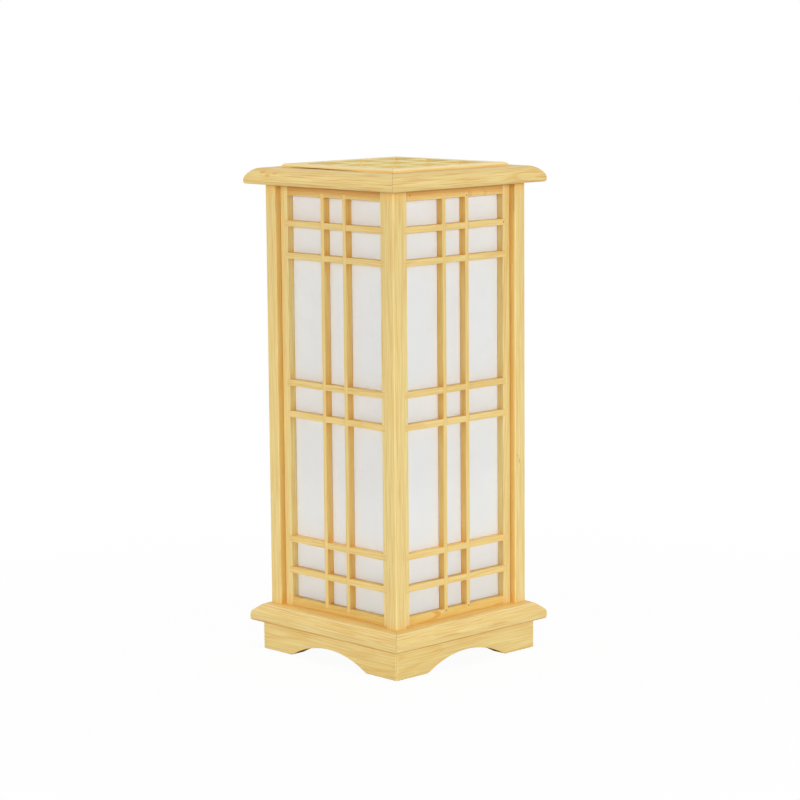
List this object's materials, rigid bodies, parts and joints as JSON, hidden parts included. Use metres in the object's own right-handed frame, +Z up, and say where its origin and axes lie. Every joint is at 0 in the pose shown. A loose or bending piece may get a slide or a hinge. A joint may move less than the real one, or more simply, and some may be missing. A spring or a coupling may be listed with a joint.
{
  "type": "bedside lamp",
  "caption": "Square pine lantern bedside lamp with lattice paper panels, moulded base and cap, arched apron, lift-off lattice lid and a screw bulb inside.",
  "frame": {"origin": "on the floor under the middle of the lamp", "axes": "+Z up along the lamp's axis, -Y out of the front panel, +X out of the right panel"},
  "size_m": [0.2, 0.2, 0.4619],
  "materials": {
    "pine_apron": "satin",
    "pine_moulding": "satin",
    "pine_post": "satin",
    "pine_panel": "satin",
    "pine_lattice": "satin",
    "pine_lid": "satin",
    "pine_batten": "satin",
    "paper": "matte",
    "rubber": "matte",
    "holder_plastic": "satin",
    "brass": "satin",
    "screw_steel": "satin",
    "bulb_cap_metal": "satin",
    "bulb_glass": "satin"
  },
  "bodies": {
    "lamp_body": {"front_apron": "pine_apron", "right_apron": "pine_apron", "back_apron": "pine_apron", "left_apron": "pine_apron", "front_base_moulding": "pine_moulding", "right_base_moulding": "pine_moulding", "back_base_moulding": "pine_moulding", "left_base_moulding": "pine_moulding", "front_right_post": "pine_post", "back_right_post": "pine_post", "back_left_post": "pine_post", "front_left_post": "pine_post", "front_panel_stile_left": "pine_panel", "front_panel_stile_right": "pine_panel", "front_panel_bottom_rail": "pine_panel", "front_panel_top_rail": "pine_panel", "front_panel_lattice": "pine_lattice", "front_panel_paper": "paper", "right_panel_stile_left": "pine_panel", "right_panel_stile_right": "pine_panel", "right_panel_bottom_rail": "pine_panel", "right_panel_top_rail": "pine_panel", "right_panel_lattice": "pine_lattice", "right_panel_paper": "paper", "back_panel_stile_left": "pine_panel", "back_panel_stile_right": "pine_panel", "back_panel_bottom_rail": "pine_panel", "back_panel_top_rail": "pine_panel", "back_panel_lattice": "pine_lattice", "back_panel_paper": "paper", "left_panel_stile_left": "pine_panel", "left_panel_stile_right": "pine_panel", "left_panel_bottom_rail": "pine_panel", "left_panel_top_rail": "pine_panel", "left_panel_lattice": "pine_lattice", "left_panel_paper": "paper", "front_cap_moulding": "pine_moulding", "right_cap_moulding": "pine_moulding", "back_cap_moulding": "pine_moulding", "left_cap_moulding": "pine_moulding", "holder_batten": "pine_batten", "cable_grommet": "rubber", "lamp_holder": "holder_plastic", "holder_screw_shell": "brass", "holder_leaf_contact": "brass", "batten_screw_left": "screw_steel", "batten_screw_right": "screw_steel", "holder_screw_left": "screw_steel", "holder_screw_right": "screw_steel"},
    "lid": {"lid_frame_front": "pine_lid", "lid_frame_right": "pine_lid", "lid_frame_back": "pine_lid", "lid_frame_left": "pine_lid", "lid_bar_front": "pine_lid", "lid_bar_right": "pine_lid", "lid_bar_back": "pine_lid", "lid_bar_left": "pine_lid"},
    "bulb_thread": {"bulb_tip_contact": "brass"},
    "bulb": {"bulb_screw_cap": "bulb_cap_metal", "bulb_glass": "bulb_glass"}
  },
  "joints": [
    {"name": "lid_lift", "type": "slide", "parent": "lamp_body", "child": "lid", "axis": [0, 0, 1], "range_m": [0, 0.1]},
    {"name": "bulb_rise", "type": "slide", "parent": "lamp_body", "child": "bulb_thread", "axis": [0, 0, 1], "range_m": [0, 0.0182]},
    {"name": "bulb_turn", "type": "hinge", "parent": "bulb_thread", "child": "bulb", "pos_m": [0, 0, 0.0421], "axis": [0, 0, 1], "range_deg": [0, 1800]}
  ],
  "couplings": [
    {"joint": "bulb_rise", "follows": "bulb_turn", "m_per_rad": 0.00057773}
  ]
}
